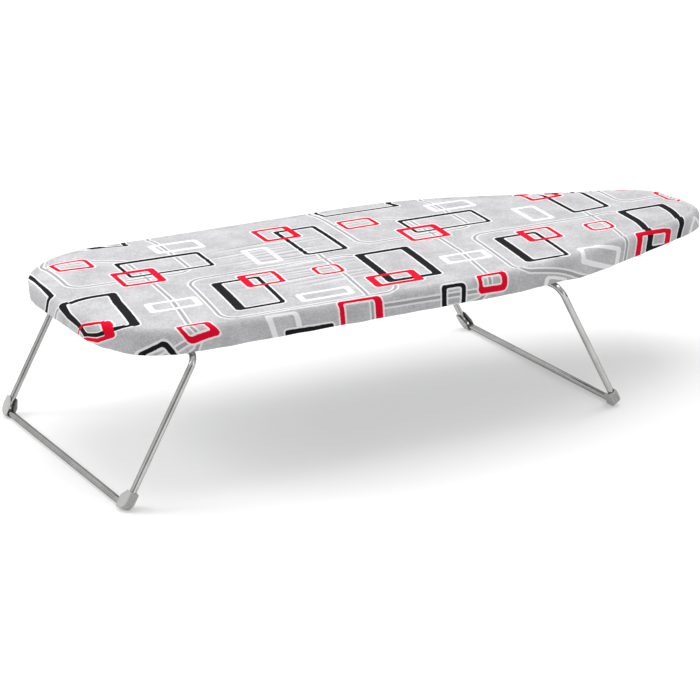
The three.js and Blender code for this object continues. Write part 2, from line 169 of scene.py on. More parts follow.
class Shader:
    """Short calls for building a material's nodes."""

    def __init__(self, name):
        self.material = bpy.data.materials.new(name)
        self.material.use_nodes = True
        self.tree = self.material.node_tree
        self.bsdf = next(n for n in self.tree.nodes if n.type == "BSDF_PRINCIPLED")

    def put(self, socket, value):
        if isinstance(value, bpy.types.NodeSocket):
            self.tree.links.new(value, socket)
        else:
            socket.default_value = value

    def math(self, operation, *values, clamp=False):
        node = self.tree.nodes.new("ShaderNodeMath")
        node.operation = operation
        node.use_clamp = clamp
        for socket, value in zip(node.inputs, values):
            self.put(socket, value)
        return node.outputs[0]

    def vector(self, operation, *values, output=0):
        node = self.tree.nodes.new("ShaderNodeVectorMath")
        node.operation = operation
        for socket, value in zip(node.inputs, values):
            self.put(socket, value)
        return node.outputs[output]

    def mix(self, factor, a, b):
        node = self.tree.nodes.new("ShaderNodeMix")
        node.data_type = "RGBA"
        self.put(node.inputs["Factor"], factor)
        self.put(node.inputs[6], a)
        self.put(node.inputs[7], b)
        return node.outputs[2]

    def coordinates(self, scale=(1, 1, 1)):
        node = self.tree.nodes.new("ShaderNodeTexCoord")
        return self.vector("MULTIPLY", node.outputs["Object"], scale)

    def noise(self, vector, scale, detail=2.0, roughness=0.5):
        node = self.tree.nodes.new("ShaderNodeTexNoise")
        self.put(node.inputs["Vector"], vector)
        self.put(node.inputs["Scale"], scale)
        self.put(node.inputs["Detail"], detail)
        self.put(node.inputs["Roughness"], roughness)
        return node.outputs["Fac"]

    def voronoi(self, vector, scale):
        node = self.tree.nodes.new("ShaderNodeTexVoronoi")
        self.put(node.inputs["Vector"], vector)
        self.put(node.inputs["Scale"], scale)
        return node

    def ramp(self, value, low, high, to_low=0.0, to_high=1.0):
        node = self.tree.nodes.new("ShaderNodeMapRange")
        self.put(node.inputs["Value"], value)
        for name, number in zip(("From Min", "From Max", "To Min", "To Max"), (low, high, to_low, to_high)):
            node.inputs[name].default_value = number
        return node.outputs["Result"]

    def bump(self, height, distance, strength=1.0, normal=None):
        node = self.tree.nodes.new("ShaderNodeBump")
        self.put(node.inputs["Height"], height)
        node.inputs["Distance"].default_value = distance
        node.inputs["Strength"].default_value = strength
        if normal is not None:
            self.put(node.inputs["Normal"], normal)
        return node.outputs["Normal"]

    def finish(self, **sockets):
        for name, value in sockets.items():
            self.put(self.bsdf.inputs[name.replace("_", " ")], value)
        return self.material


# ---- the print, in millimetres of cloth ----

# The first coordinate runs from heel to nose, the second towards the far side. The print repeats along the
# first. Inked shapes have a pale halo and slightly soft edges.
REPEAT = 321.0
HALO = 1.9
EDGE = 0.35

# Rounded rectangles: left, right, top, bottom, (left, right, top, bottom line widths), corner radius.
BLACK_SHAPES = [
    (-277, -185, 63.5, 14.5, (4, 4.2, 6, 4.2), 4),
    (-210.5, -158.5, -37, -122, (10, 4.5, 5.2, 5), 5),
    (-366, -304.5, -19.5, -115, (9, 9, 6.5, 6.5), 4),
    (-411, -362, 89, 1, (5, 5, 5, 5), 4),
    (-338, -245, 154, 113.5, (4, 6.5, 5, 5), 4),
    (1, 29, -143, -170, (5.5, 5, 3.5, 5), 5),
    (-177, -121, -163, -190, (5, 5, 5.5, 5), 3),
]
RED_SHAPES = [
    (-337.5, -297, 89.5, 59.5, (4.5, 4.7, 4.8, 4.8), 5),
    (-292.5, -245.5, 35.5, -9, (5.5, 8, 7.5, 5.2), 4),
    (-382.5, -328, -88.5, -123, (8.5, 9, 5.8, 6.5), 4),
    (-179.5, -138, -27.5, -66.5, (8.5, 5, 4.5, 6), 4),
    (-431, -388.5, 102, 60.5, (5.5, 7.5, 5.5, 6), 4),
    (-102, -71.5, -37.5, -65, (4, 3.8, 3.5, 3.8), 7),
    (-277, -243.5, -136, -157.5, (4.5, 6.5, 4, 6.5), 5),
    (-113, -66, -143, -176, (5.5, 8, 3, 5), 4),
]
WHITE_SHAPES = [
    (-225, -171, 103, 73, (6, 5.5, 5.5, 5.5), 4),
    (-288.5, -235, -64, -91, (6.5, 6.5, 4.8, 5), 4),
    (-146, -116, 46.5, -5, (6, 5, 5, 5), 4),
    (-144.5, -86, -105.5, -129, (6, 6, 4.8, 5), 4),
    (-192, -156.5, -145.5, -180, (6.5, 6, 3.2, 5), 4),
]
# Closed tracks: left, right, top, bottom of the centre line, corner radius.
TRACK_LOOPS = [
    (-344, -212, 200, 8, 16),
    (-229.5, -41, -17, -140, 18),
]
# Straight tracks: from, to.
TRACK_RUNS = [
    ((-264, 66), (-260, -62)),
    ((-260, -62), (-264, -154)),
    ((-264, -154), (-275, -163)),
    ((-275, -163), (-310, -170)),
    ((-77, 2), (-77, -220)),
    ((-344, 78), (-290, 78)),
    ((-290, 78), (-265, 66)),
    ((-66, -154), (44, -154)),
]
TRACK_HALF_WIDTH = 3.5
TRACK_LINE = 1.9


def print_coordinates(x, y):
    """The cloth's own coordinates for a point of the flat plan, on which the print lies slightly askew."""
    p = x - 0.13 * y + 0.00031 * y * y
    q = y + 0.021 * x
    # The cloth is pulled towards the far heel corner.
    heel = np.clip((-270 - x) / 60, 0, 1)
    near = np.clip(-y / 40, 0, 1)
    p = p - heel * (3.5 - 5.3 * near)
    q = q - heel * (1.5 + 0.06 * np.clip(y, 0, 120))
    far = np.clip((-120 - x) / 100, 0, 1) * np.clip((y - 40) / 60, 0, 1)
    border = np.clip((y - 108) / 20, 0, 1)
    corner = np.clip((-205 - x) / 30, 0, 1) * border
    q = q - 2.6 * far - 4 * corner - 12 * np.clip((-228 - x) / 40, 0, 1) * border
    p = p - 12 * corner
    # It follows the taper of the nose along the near edge.
    nose = np.clip((x - 230) / 60, 0, 1)
    return p, q - nose * (4 + 0.09 * np.clip(-y, 0, 150))


def box_distance(sh, at, left, right, top, bottom, radius):
    """Distance from a rounded rectangle that repeats along the first coordinate; flat inside it."""
    middle = ((left + right) / 2, (top + bottom) / 2, 0)
    core = ((right - left) / 2 - radius, (top - bottom) / 2 - radius, 1)
    offset = sh.vector("SUBTRACT", at, middle)
    offset = sh.vector("WRAP", offset, (REPEAT / 2, 2000, 1), (-REPEAT / 2, -2000, -1))
    outside = sh.vector("MAXIMUM", sh.vector("SUBTRACT", sh.vector("ABSOLUTE", offset), core), (0, 0, 0))
    return sh.math("SUBTRACT", sh.vector("LENGTH", outside, output=1), radius)


def frame_distance(sh, at, shape):
    """Distance from the line round a rounded rectangle, whose sides differ in width."""
    left, right, top, bottom, (wl, wr, wt, wb), radius = shape
    inner_radius = max(radius - min(wl, wr, wt, wb) * 0.6, HALO + 0.5)
    outer = box_distance(sh, at, left, right, top, bottom, radius)
    inner = box_distance(sh, at, left + wl, right - wr, top - wt, bottom + wb, inner_radius)
    return sh.math("MAXIMUM", outer, sh.math("MULTIPLY", inner, -1.0))


def run_distance(sh, at, start, end):
    """Distance from a straight line that repeats along the first coordinate."""
    a, b = Vector(start).to_3d(), Vector(end).to_3d()
    middle, half = (a + b) / 2, (b - a) / 2
    offset = sh.vector("SUBTRACT", at, tuple(middle))
    offset = sh.vector("WRAP", offset, (REPEAT / 2, 2000, 1), (-REPEAT / 2, -2000, -1))
    share = sh.math("DIVIDE", sh.vector("DOT_PRODUCT", offset, tuple(half), output=1), half.length_squared)
    share = sh.math("MINIMUM", sh.math("MAXIMUM", share, -1.0), 1.0)
    scale = sh.tree.nodes.new("ShaderNodeVectorMath")
    scale.operation = "SCALE"
    scale.inputs[0].default_value = tuple(half)
    sh.put(scale.inputs["Scale"], share)
    return sh.vector("LENGTH", sh.vector("SUBTRACT", offset, scale.outputs[0]), output=1)


def nearest(sh, distances):
    result = distances[0]
    for other in distances[1:]:
        result = sh.math("MINIMUM", result, other)
    return result


def inked(sh, distance, limit=0.0):
    """1 where the distance is under the limit, with a soft edge."""
    return sh.ramp(distance, limit - EDGE / 2, limit + EDGE / 2, 1.0, 0.0)


def cover_material():
    sh = Shader("printed_heather_cotton")
    # The print attribute holds the print's coordinates, and as its third value the creases' slope, used for
    # painted crease shade and painted highlight.
    attribute = sh.tree.nodes.new("ShaderNodeAttribute")
    attribute.attribute_name = "print"
    split = sh.tree.nodes.new("ShaderNodeSeparateXYZ")
    sh.put(split.inputs[0], attribute.outputs["Vector"])
    cloth = sh.vector("MULTIPLY", attribute.outputs["Vector"], (1, 1, 0))

    # Inks bleed a little along the threads.
    wander = sh.tree.nodes.new("ShaderNodeTexNoise")
    sh.put(wander.inputs["Vector"], cloth)
    sh.put(wander.inputs["Scale"], 0.35)
    sh.put(wander.inputs["Detail"], 2.0)
    centred = sh.vector("SUBTRACT", wander.outputs["Color"], (0.5, 0.5, 0.5))
    shift = sh.vector("MULTIPLY", centred, (0.9, 0.9, 0))
    at = sh.vector("MULTIPLY", sh.vector("ADD", cloth, shift), (1, 1, 0))

    # Marled yarn: slubs along and across the cloth, specks, and slow changes of tone.
    slub_length = sh.noise(sh.vector("MULTIPLY", cloth, (0.11, 0.95, 0)), 1.0, 3.0)
    slub_width = sh.noise(sh.vector("MULTIPLY", cloth, (0.95, 0.11, 0)), 1.0, 3.0)
    speck = sh.noise(cloth, 0.8, 3.0, 0.6)
    cloud = sh.noise(cloth, 0.03, 3.0)
    slubs = sh.math("ADD", slub_length, slub_width)
    heather = sh.math("ADD", sh.math("MULTIPLY", slubs, 0.3), sh.math("MULTIPLY", speck, 0.4))
    tone = sh.ramp(sh.math("ADD", heather, sh.math("MULTIPLY", cloud, 0.3)), 0.55, 0.75)
    ground = sh.mix(tone, (0.33, 0.328, 0.337, 1), (0.505, 0.505, 0.523, 1))
    # Painted shade on one side of each crease and painted highlight on the other, taken from the slope in
    # the attribute's third value. The creases are also real folds in the cloth's shape.
    ground = sh.mix(sh.ramp(split.outputs[2], 0.015, 0.11, 0.0, 0.75), ground, (0.17, 0.17, 0.175, 1))
    ground = sh.mix(sh.ramp(split.outputs[2], -0.015, -0.11, 0.0, 0.6), ground, (0.68, 0.68, 0.69, 1))

    tracks = [run_distance(sh, at, *run) for run in TRACK_RUNS]
    reach = 4.0
    for left, right, top, bottom, radius in TRACK_LOOPS:
        sides = (left - reach, right + reach, top + reach, bottom - reach)
        spread = box_distance(sh, at, *sides, radius + reach)
        tracks.append(sh.math("ABSOLUTE", sh.math("ADD", spread, reach)))
    track = nearest(sh, tracks)
    colour = sh.mix(inked(sh, track, TRACK_HALF_WIDTH), ground, (0.64, 0.64, 0.65, 1))
    colour = sh.mix(inked(sh, track, TRACK_HALF_WIDTH - TRACK_LINE), colour, (0.30, 0.30, 0.31, 1))

    white = nearest(sh, [frame_distance(sh, at, s) for s in WHITE_SHAPES])
    black = nearest(sh, [frame_distance(sh, at, s) for s in BLACK_SHAPES])
    red = nearest(sh, [frame_distance(sh, at, s) for s in RED_SHAPES])
    worn = sh.ramp(heather, 0.35, 0.65, 0.96, 1.0)
    colour = sh.mix(sh.math("MULTIPLY", inked(sh, white), worn), colour, (0.70, 0.70, 0.70, 1))
    outlined = sh.math("MINIMUM", black, red)
    colour = sh.mix(sh.math("MULTIPLY", inked(sh, outlined, HALO), 0.95), colour, (0.68, 0.68, 0.68, 1))
    black_ink = sh.mix(heather, (0.003, 0.003, 0.004, 1), (0.016, 0.016, 0.018, 1))
    red_ink = sh.mix(heather, (0.56, 0.0, 0.016, 1), (0.68, 0.003, 0.028, 1))
    colour = sh.mix(inked(sh, black), colour, black_ink)
    colour = sh.mix(inked(sh, red), colour, red_ink)

    # Plain weave, about 14 threads to the centimetre.
    pitch = 0.7
    warp = sh.math("SINE", sh.math("MULTIPLY", split.outputs[0], 2 * math.pi / pitch))
    weft = sh.math("SINE", sh.math("MULTIPLY", split.outputs[1], 2 * math.pi / pitch))
    weave = sh.math("MULTIPLY", warp, weft)
    height = sh.math("ADD", sh.math("MULTIPLY", weave, 0.25), heather)
    normal = sh.bump(height, 0.00018, 0.6)
    return sh.finish(
        Base_Color=colour, Roughness=sh.ramp(heather, 0.3, 0.7, 0.82, 0.95), Normal=normal,
        Sheen_Weight=0.01, Sheen_Roughness=0.5, Specular_IOR_Level=0.05,
    )


def plated_material(name, colour, roughness, streak, relief=0.00003, edge=0.8):
    sh = Shader(name)
    at = sh.coordinates()
    cloud = sh.noise(at, 60.0, 3.0)
    fine = sh.noise(sh.coordinates(streak), 1.0, 2.0)
    both = sh.math("ADD", sh.math("MULTIPLY", cloud, 0.6), sh.math("MULTIPLY", fine, 0.4))
    shade = sh.ramp(both, 0.35, 0.65)
    dark = tuple(0.86 * c for c in colour) + (1,)
    return sh.finish(
        Base_Color=sh.mix(shade, dark, tuple(colour) + (1,)), Metallic=1.0,
        Roughness=sh.ramp(shade, 0, 1, roughness * 0.8, roughness * 1.25),
        Normal=sh.bump(fine, relief, 0.5), Specular_Tint=(edge, edge, edge, 1),
    )


def coated_material():
    sh = Shader("coated_panel_steel")
    at = sh.coordinates()
    peel = sh.noise(at, 900.0, 1.0)
    cloud = sh.noise(at, 25.0, 4.0)
    colour = sh.mix(sh.ramp(cloud, 0.35, 0.65), (0.40, 0.41, 0.42, 1), (0.47, 0.48, 0.49, 1))
    return sh.finish(
        Base_Color=colour, Metallic=0.55, Roughness=sh.ramp(cloud, 0.3, 0.7, 0.42, 0.55),
        Normal=sh.bump(peel, 0.00008, 0.4),
    )


def foam_material():
    sh = Shader("pad_foam")
    cells = sh.voronoi(sh.coordinates(), 1400.0)
    cloud = sh.noise(sh.coordinates(), 40.0, 3.0)
    colour = sh.mix(sh.ramp(cloud, 0.35, 0.65), (0.70, 0.66, 0.52, 1), (0.78, 0.74, 0.61, 1))
    return sh.finish(
        Base_Color=colour, Roughness=0.95, Specular_IOR_Level=0.2,
        Normal=sh.bump(cells.outputs["Distance"], 0.0003, 0.8),
    )


def elastic_material():
    sh = Shader("ribbed_elastic")
    ribs = sh.noise(sh.coordinates((900, 900, 2500)), 1.0, 1.0)
    colour = sh.mix(sh.ramp(ribs, 0.35, 0.65), (0.74, 0.74, 0.73, 1), (0.86, 0.86, 0.85, 1))
    return sh.finish(Base_Color=colour, Roughness=0.85, Normal=sh.bump(ribs, 0.0002, 0.7), Sheen_Weight=0.1)


def plastic_material():
    sh = Shader("moulded_grey_plastic")
    at = sh.coordinates()
    grain = sh.noise(at, 1600.0, 2.0)
    cloud = sh.noise(at, 70.0, 3.0)
    colour = sh.mix(sh.ramp(cloud, 0.35, 0.65), (0.33, 0.335, 0.325, 1), (0.385, 0.39, 0.38, 1))
    return sh.finish(
        Base_Color=colour, Roughness=sh.ramp(grain, 0.3, 0.7, 0.45, 0.6), Specular_IOR_Level=0.45,
        Normal=sh.bump(grain, 0.00006, 0.5),
    )


COVER = cover_material()
WIRE = plated_material("bright_plated_wire", (0.52, 0.52, 0.51), 0.13, (60, 60, 60), 0.000003, 0.25)
ZINC = plated_material("zinc_plated_sheet", (0.62, 0.62, 0.60), 0.36, (600, 40, 600))
COATED = coated_material()
FOAM = foam_material()
ELASTIC = elastic_material()
PLASTIC = plastic_material()


# ---- cover ----

# Lengthwise creases, most of them in the slack middle: start x, end x, y, drift, height, half width.
MIDDLE_CREASES = [
    (
        -185 + 34 * math.sin(2.1 * k), -48 + 30 * math.sin(1.3 * k + 1),
        58 - 8.6 * k + 1.5 * math.sin(5 * k), 4 * math.sin(0.9 * k),
        0.62 + 0.16 * math.sin(3.7 * k), 2.5 + 0.5 * math.sin(2.9 * k),
    )
    for k in range(17)
]
CREASES = MIDDLE_CREASES + [
    (-10, 95, -55, 4, 0.30, 3.0), (-20, 80, -88, 3, 0.32, 3.0),
    (70, 190, -12, -2, 0.28, 3.2), (-330, -215, -52, 4, 0.25, 3.4),
]


def crease_height(x, y):
    """Height of the creases, and how steeply they fall towards the near side; the cloth's colour turns this
    slope into painted shade and painted highlight.
    """
    height, fall = np.zeros_like(x), np.zeros_like(x)
    for start, end, level, drift, rise, half_width in CREASES:
        along = (x - start) / (end - start)
        fade = np.clip(along * (1 - along) * 4, 0, 1)
        centre = level + drift * (along - 0.5) + 0.8 * np.sin(x / 17.0 + level)
        off = (y - centre) / half_width
        rise_here = rise * fade * np.exp(-off * off)
        height += rise_here
        fall += rise_here * off / half_width
    return height, fall


EDGE_LENGTH = EDGE_RADIUS * math.pi / 2
WALL_LENGTH = TOP_Z - EDGE_RADIUS - HEM_Z - HEM_FOLD_RADIUS
FOLD_LENGTH = HEM_FOLD_RADIUS * math.pi / 2
HEM_LENGTH = EDGE_LENGTH + WALL_LENGTH + FOLD_LENGTH + HEM_WIDTH - HEM_FOLD_RADIUS


def hem_profile(distance):
    """Inset from the outline and height of the cloth, by its distance past the start of the rounded edge."""
    if distance <= EDGE_LENGTH:
        a = distance / EDGE_RADIUS
        return EDGE_RADIUS * (1 - math.sin(a)), TOP_Z - EDGE_RADIUS * (1 - math.cos(a))
    distance -= EDGE_LENGTH
    if distance <= WALL_LENGTH:
        return 0.0, TOP_Z - EDGE_RADIUS - distance
    distance -= WALL_LENGTH
    if distance <= FOLD_LENGTH:
        a = distance / HEM_FOLD_RADIUS
        return HEM_FOLD_RADIUS * (1 - math.cos(a)), HEM_Z + HEM_FOLD_RADIUS * (1 - math.sin(a))
    return HEM_FOLD_RADIUS + distance - FOLD_LENGTH, HEM_Z


def edge_drop(outline, normals):
    """How far the cloth is pulled down at the start of the rounded edge: far side, heel and nose."""
    nose = np.clip((outline[:, 0] - 120) / 200, 0, 1)
    far = np.clip(normals[:, 1] + 0.15, 0, 1) * (3.2 + 0.8 * np.abs(normals[:, 0])) * (1 - 0.25 * nose)
    return far + 1.8 * np.clip(-normals[:, 0], 0, 1) + 3.6 * nose * nose * (3 - 2 * nose)


def spine_line(outline):
    """The point of the board's middle line that each point of the outline is joined to."""
    return np.stack([np.clip(outline[:, 0], HEEL_X + 95, NOSE_X - 75), np.zeros(len(outline))], 1)


def top_height(share, drop):
    """Height of the smooth cloth from the spine (share 0) to the start of the rounded edge (share 1)."""
    inner = min((1 - share) * 12, 1)
    return TOP_Z - 0.55 - 0.25 * (1 - inner) - drop * max(1 - (1 - share) * 3.2, 0) ** 2


# Slip of the skirt's print along the edge, in millimetres for each millimetre down: place along X, slip.
SLIP_PLACES = [-362, -345, -331, -305, -285, -262, -190, -130, -50, 20, 60, 110, 150, 215, 300, 322, 345]
SLIP_VALUES = [-1.0, -0.6, -0.1, 0.45, 0.7, 0.8, 0.5, 0.3, 0.3, 0.17, 0.2, 0.05, 0.0, 0.3, 0.35, 0.1, 0.0]

# How far the print is drawn down round the near heel corner, at the hem: place along Y, millimetres.
DRAW_PLACES = [-130, -119, -100, -80, -58, -30, 0]
DRAW_VALUES = [0, 3, 9, 12, 27, 12, 0]

# How far the near skirt hangs below its usual edge: place along X, millimetres.
SLACK_PLACES = [-362, -355, -340, -325, -305, -292, -270, 112, 124, 150, 195, 255, 290, 330, 370]
SLACK_VALUES = [0.8, 2.4, 3.8, 3.8, 2.6, 1.2, 0.0, 0.0, 0.2, 3.4, 4.0, 2.4, 1.4, 0.0, 0.0]


def build_cover():
    outline, normals = board_outline(2.0)
    count = len(outline)
    around = np.r_[0, np.cumsum(np.linalg.norm(np.diff(outline, axis=0), axis=1))]
    rim = outline - normals * EDGE_RADIUS
    tangents = np.stack([-normals[:, 1], normals[:, 0]], 1)
    spine = spine_line(outline)
    points, prints = [], []
    drop = edge_drop(outline, normals)

    shares = np.linspace(0, 1, 100)[1:]
    for share in shares:
        flat = spine + (rim - spine) * share
        x, y = flat[:, 0], flat[:, 1]
        inner = min((1 - share) * 12, 1)
        crease, fall = crease_height(x, y)
        z = top_height(share, drop) + crease * min(inner * 1.5, 1)
        z += 0.35 * np.sin(x / 61.0 + 0.4) * np.sin(y / 47.0 + 1.0) * inner
        points.append(np.stack([x, y, z], 1))
        p, q = print_coordinates(x, y)
        # Third value: the creases' slope, which the cloth's colour turns into painted shade and painted
        # highlight.
        prints.append(np.stack([p, q, fall], 1))

    # Round the heel corners and the nose the skirt is gathered; along the straight sides it lies flat.
    curl = np.abs(np.roll(normals, -6, 0) - np.roll(normals, 6, 0)).sum(1)
    gather = np.clip(curl / 0.12, 0.12, 1.0)
    near_side = np.clip(-normals[:, 1] * 3 + 0.5, 0, 1)
    slip = np.interp(outline[:, 0], SLIP_PLACES, SLIP_VALUES) * near_side
    slack = np.interp(outline[:, 0], SLACK_PLACES, SLACK_VALUES) * near_side
    at_heel = np.clip((-290 - outline[:, 0]) / 10, 0, 1)
    draw = np.interp(outline[:, 1], DRAW_PLACES, DRAW_VALUES) * at_heel
    # The rings lie closer where the cloth bends. The hem's fold is rounded to 0.02 mm.
    fold_start, fold_end = 26.95, 28.82
    stations = np.r_[
        np.linspace(0, EDGE_LENGTH, 9)[1:],
        np.linspace(EDGE_LENGTH, EDGE_LENGTH + WALL_LENGTH, 8)[1:],
        np.linspace(fold_start, fold_end, 5)[1:],
        np.linspace(fold_end, HEM_LENGTH, 10)[1:],
    ]
    for distance in stations:
        inset, z = hem_profile(distance)
        down = np.clip((distance - 6) / 20, 0, 1)
        under = np.clip((distance - 29) / 14, 0, 1)
        wave = ripple(around, 21, 1) * gather + 0.35 * ripple(around, 74, 2)
        puff = 0.45 * down * (1 - under) * wave
        tuck = 1.6 * down * np.clip(-normals[:, 0], 0, 1)
        spread = outline - normals * (inset + tuck - puff - 0.25 * down * (1 - under))[:, None]
        lift = 0.35 * np.clip((distance - 20) / 8, 0, 1) * ripple(around, 46, 3)
        lift = lift + under * 0.55 * ripple(around, 7.5, 4) * (0.5 + gather)
        lift = lift - slack * np.clip((distance - 8) / 18, 0, 1) * (1 - 0.6 * under)
        height = z - drop * max(1 - distance / 20, 0) + lift
        points.append(np.column_stack([spread, height]))
        base = rim + normals * distance - tangents * (slip * max(distance - 3, 0))[:, None]
        drawn = draw * np.clip((distance - 3) / 25, 0, 1)
        base = base - np.stack([0.43 * drawn, drawn], 1)
        p, q = print_coordinates(base[:, 0], base[:, 1])
        prints.append(np.stack([p, q, np.zeros(count)], 1))

    rings = len(points)
    points, prints = np.vstack(points), np.vstack(prints)
    faces = ring_faces(rings, count)
    # The innermost ring lies along the spine, so its two sides are joined across it.
    half = count // 2
    start = int(np.argmin(outline[:, 0] - 1e-3 * outline[:, 1]))
    order = [(start + k) % count for k in range(count)]
    for k in range(half):
        a, b = order[k], order[k + 1]
        c, d = order[(count - k - 1) % count], order[(count - k) % count]
        quad = []
        for i in (a, b, c, d):
            if i not in quad:
                quad.append(i)
        if len(quad) >= 3:
            faces.append(tuple(quad))
    cover = mesh_piece("cover_cloth", points * MM, faces, "board", COVER)
    # The print attribute carries the print's coordinates and the creases' slope for painted crease shade and
    # highlight.
    values = cover.data.attributes.new("print", "FLOAT_VECTOR", "POINT")
    values.data.foreach_set("vector", prints.astype(np.float32).ravel())
    thickness = cover.modifiers.new("thickness", "SOLIDIFY")
    thickness.thickness = 0.8 * MM
    thickness.offset = -1
    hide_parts("cover")
    following = np.roll(outline, -1, 0)
    area = 0.5 * abs(np.sum(outline[:, 0] * following[:, 1] - following[:, 0] * outline[:, 1]))
    past_edge = HEM_LENGTH - EDGE_RADIUS
    size = ((2 * HALF_WIDTH + 2 * past_edge) * MM, (NOSE_X - HEEL_X + 2 * past_edge) * MM)
    return cover, size, (area + around[-1] * past_edge) * MM * MM


cover, cover_size, cover_area = build_cover()


# ---- hem elastic ----

def inset_ring(outline, normals, inset):
    return outline - normals * inset


def build_elastic():
    outline, normals = board_outline(1.2)
    count = len(outline)
    around = np.r_[0, np.cumsum(np.linalg.norm(np.diff(outline, axis=0), axis=1))]
    middle = inset_ring(outline, normals, HEM_WIDTH + 1.5)
    ribs = 0.12 * np.sin(2 * np.pi * around / 2.4)
    sway = 0.25 * ripple(around, 9, 5)
    rings = []
    for k in range(10):
        a = 2 * math.pi * k / 10
        outward = (1.15 + ribs) * math.cos(a)
        height = HEM_Z + 0.85 + (0.62 + ribs) * math.sin(a) + sway * 0.4
        rings.append(np.column_stack([middle + normals * outward[:, None], height]))
    faces = ring_faces(len(rings), count, True)
    return mesh_piece("hem_elastic_band", np.vstack(rings) * MM, faces, "board", ELASTIC)


elastic = build_elastic()
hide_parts("hem_elastic")


def build_hem_stitches():
    """One row of lock stitches under the hem, 5 mm from its inner edge."""
    outline, normals = board_outline(3.4)
    line = inset_ring(outline, normals, HEM_WIDTH - 5)
    tangents = np.stack([-normals[:, 1], normals[:, 0]], 1)
    points, faces = [], []
    sides = 6
    for centre, tangent, normal in zip(line, tangents, normals):
        base = len(points)
        for step, swell in ((-1.25, 0.3), (-0.7, 1.0), (0.7, 1.0), (1.25, 0.3)):
            for k in range(sides):
                a = 2 * math.pi * k / sides
                place = centre + tangent * step + normal * 0.24 * swell * math.cos(a)
                points.append((place[0], place[1], HEM_Z - 0.12 + 0.2 * swell * math.sin(a)))
        for r in range(3):
            for k in range(sides):
                j = (k + 1) % sides
                low, high = base + r * sides, base + (r + 1) * sides
                faces.append((low + k, low + j, high + j, high + k))
        faces.append(tuple(base + k for k in range(sides)))
        faces.append(tuple(base + 3 * sides + k for k in range(sides)))
    return mesh_piece("hem_stitches", np.array(points) * MM, faces, "board", ELASTIC)


stitches = build_hem_stitches()


# ---- pad ----

def build_pad():
    outline, normals = board_outline(5.0)
    count = len(outline)
    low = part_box("pad")[0].z / MM
    drop = edge_drop(outline, normals)
    spine = spine_line(outline)
    flat_edge = inset_ring(outline, normals, EDGE_RADIUS)
    rings = []
    for share in (0.02, 0.35, 0.7, 1.0):
        rings.append(np.column_stack([spine + (flat_edge - spine) * share, np.full(count, low)]))
    for inset, height in ((5.5, 0.0), (4.2, 0.15), (3.8, 0.6)):
        ring = inset_ring(outline, normals, inset)
        rings.append(np.column_stack([ring, np.full(count, low + height)]))
    for distance in (6.5, 4.5, 2.5):
        inset, z = hem_profile(distance)
        height = z - drop * (1 - distance / 20) - PAD_CLEARANCE
        ring = inset_ring(outline, normals, inset + 1)
        rings.append(np.column_stack([ring, np.maximum(height, low + 0.7)]))
    for share in (1.0, 0.95, 0.9, 0.8, 0.65, 0.4, 0.02):
        height = np.minimum(top_height(share, drop) - PAD_CLEARANCE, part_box("pad")[1].z / MM)
        rings.append(np.column_stack([spine + (flat_edge - spine) * share, height]))
    faces = ring_faces(len(rings), count)
    last = (len(rings) - 1) * count
    faces.append(tuple(range(count)))
    faces.append(tuple(last + i for i in range(count)))
    pad = mesh_piece("foam_pad", np.vstack(rings) * MM, faces, "board", FOAM)
    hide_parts("pad")


build_pad()


# ---- panel, rails and hinges: the CAD shapes with finer edges ----

def dress(node, material, width):
    obj = nodes[node]
    obj.data.materials.clear()
    obj.data.materials.append(material)
    bevel(obj, width)
    obj.data.shade_smooth()
    split = obj.modifiers.new("edges", "EDGE_SPLIT")
    split.split_angle = math.radians(40)


dress("panel", COATED, 0.15 * MM)
for end in ("heel", "nose"):
    dress(f"{end}_rail", COATED, 0.25 * MM)
    for hand in ("left", "right"):
        dress(f"{end}_hinge_{hand}", ZINC, 0.2 * MM)
        for number in (1, 2):
            dress(f"{end}_rivet_{hand}_{number}", ZINC, 0.3 * MM)


# ---- legs ----

WIRE_RADIUS = 3.25
LEG_HALF_WIDTH = 142.0
LEG_SPREAD = 74.0
BAR_Z = 5.0
STOP_ARM_Y = 76.0
STOP_ARM_LENGTH = 13.0
STOP_ARM_BEND, TOP_BEND, FOOT_BEND = 6.0, 12.0, 11.0


def bent_line(corners, segments=16):
    """Points along straight runs joined by bends: corners are (point, radius)."""
    line = [corners[0][0]]
    for k in range(1, len(corners) - 1):
        point, radius = corners[k]
        back = (corners[k - 1][0] - point).normalized()
        ahead = (corners[k + 1][0] - point).normalized()
        half = back.angle(ahead) / 2
        centre = point + (back + ahead).normalized() * (radius / math.sin(half))
        start = point + back * (radius / math.tan(half)) - centre
        axis = back.cross(start).normalized()
        for step in range(segments + 1):
            turn = Matrix.Rotation(step / segments * (math.pi - 2 * half), 3, axis)
            line.append(turn @ start + centre)
    line.append(corners[-1][0])
    return line


def tube(line, radius, sides=28):
    """A round bar along the line, with softly rounded ends."""
    tangents = []
    for k in range(len(line)):
        before = (line[k] - line[max(k - 1, 0)]).normalized()
        after = (line[min(k + 1, len(line) - 1)] - line[k]).normalized()
        tangents.append((before + after).normalized())
    stations = [(p, t, 1.0) for p, t in zip(line, tangents)]
    first, last = stations[0], stations[-1]
    caps = [(0.0, 0.84), (0.25, 0.95), (0.6, 1.0)]
    head = [(first[0] + first[1] * d, first[1], s) for d, s in caps]
    tail = [(last[0] - last[1] * d, last[1], s) for d, s in reversed(caps)]
    stations = head + stations[1:-1] + tail
    side = stations[0][1].orthogonal().normalized()
    points = []
    for place, tangent, scale in stations:
        side = (side - tangent * side.dot(tangent)).normalized()
        other = tangent.cross(side)
        for k in range(sides):
            a = 2 * math.pi * k / sides
            points.append(place + (side * math.cos(a) + other * math.sin(a)) * radius * scale)
    faces = ring_faces(len(stations), sides)
    faces.append(tuple(range(sides)))
    faces.append(tuple(len(points) - sides + k for k in range(sides)))
    return points, faces


